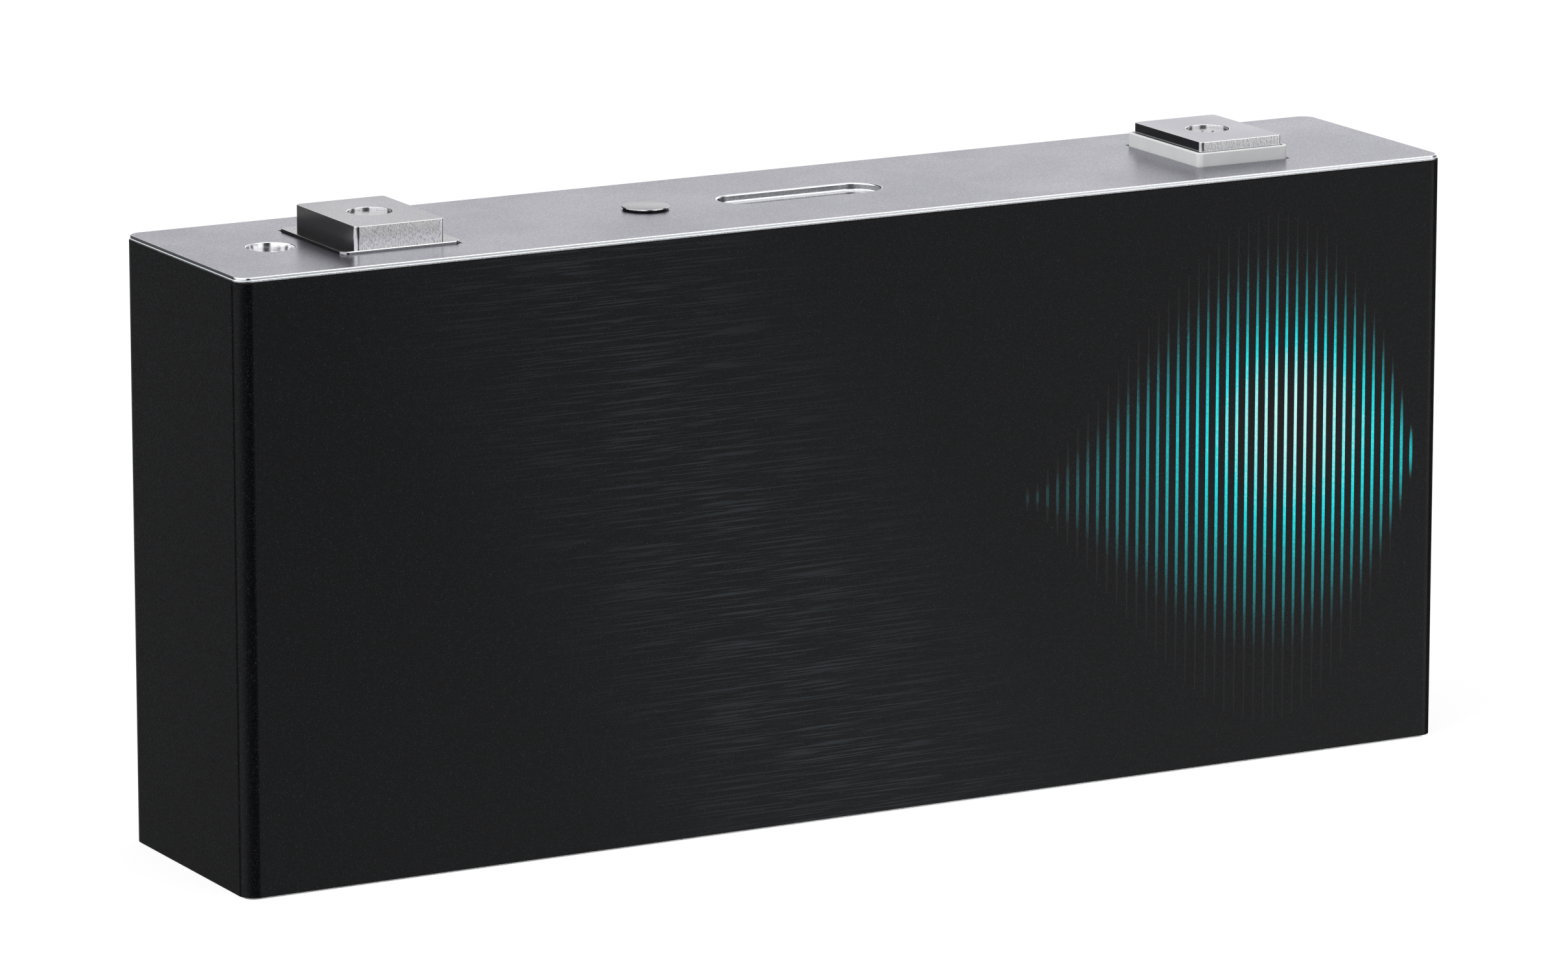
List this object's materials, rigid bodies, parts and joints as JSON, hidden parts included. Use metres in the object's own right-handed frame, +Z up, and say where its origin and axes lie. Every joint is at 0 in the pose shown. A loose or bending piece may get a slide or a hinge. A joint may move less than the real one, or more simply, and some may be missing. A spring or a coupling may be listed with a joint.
{
  "type": "prismatic battery cell",
  "caption": "Prismatic battery cell: a flat aluminium can in black printed film, closed by a vented cap plate with raised terminals for welded busbars.",
  "frame": {"origin": "middle of the can's bottom face", "axes": "+X along the cell towards the negative terminal, -Y out of the printed front face, +Z up through the cap plate"},
  "size_m": [0.221, 0.0426, 0.1037],
  "materials": {
    "can_aluminium": "drawn, satin",
    "film_black": "satin black film with fine grain",
    "ink_teal": "upright ink strokes, teal to pale cyan",
    "cap_aluminium": "blasted, satin",
    "membrane_aluminium": "rolled foil",
    "disc_aluminium": "rolled, bright edge",
    "base_plate_aluminium": "stamped, bright edges",
    "terminal_aluminium": "milled sides, satin top",
    "pole_aluminium": "turned",
    "frame_plastic": "light grey moulded plastic",
    "plated_plate": "nickel-plated, sheared edges",
    "plated_pole": "nickel-plated, turned",
    "insulator_plastic": "natural moulded plastic",
    "seal_rubber": "black seal",
    "collector_aluminium": "stamped sheet",
    "collector_copper": "stamped copper sheet",
    "electrode": "wound coated foil, bare at the ends",
    "bag_plastic": "thin film"
  },
  "bodies": {
    "root": {"bottom_support": "insulator_plastic", "cap_plate": "cap_aluminium", "case_can": "can_aluminium", "electrode_roll_back": "electrode", "electrode_roll_front": "electrode", "fill_plug": "seal_rubber", "insulation_bag": "bag_plastic", "negative_collector": "collector_copper", "negative_frame": "frame_plastic", "negative_gasket": "seal_rubber", "negative_lower_insulator": "insulator_plastic", "negative_pole": "plated_pole", "negative_retainer": "insulator_plastic", "negative_terminal": "plated_plate", "negative_weld_strips": "collector_copper", "port_pin": "disc_aluminium", "positive_base_plate": "base_plate_aluminium", "positive_collector": "collector_aluminium", "positive_gasket": "seal_rubber", "positive_lower_insulator": "insulator_plastic", "positive_pole": "pole_aluminium", "positive_retainer": "insulator_plastic", "positive_terminal": "terminal_aluminium", "positive_weld_strips": "collector_aluminium", "printed_lines": "ink_teal", "seal_disc": "disc_aluminium", "vent_membrane": "membrane_aluminium", "vent_shield": "insulator_plastic", "wrap_film": "film_black"}
  },
  "joints": []
}
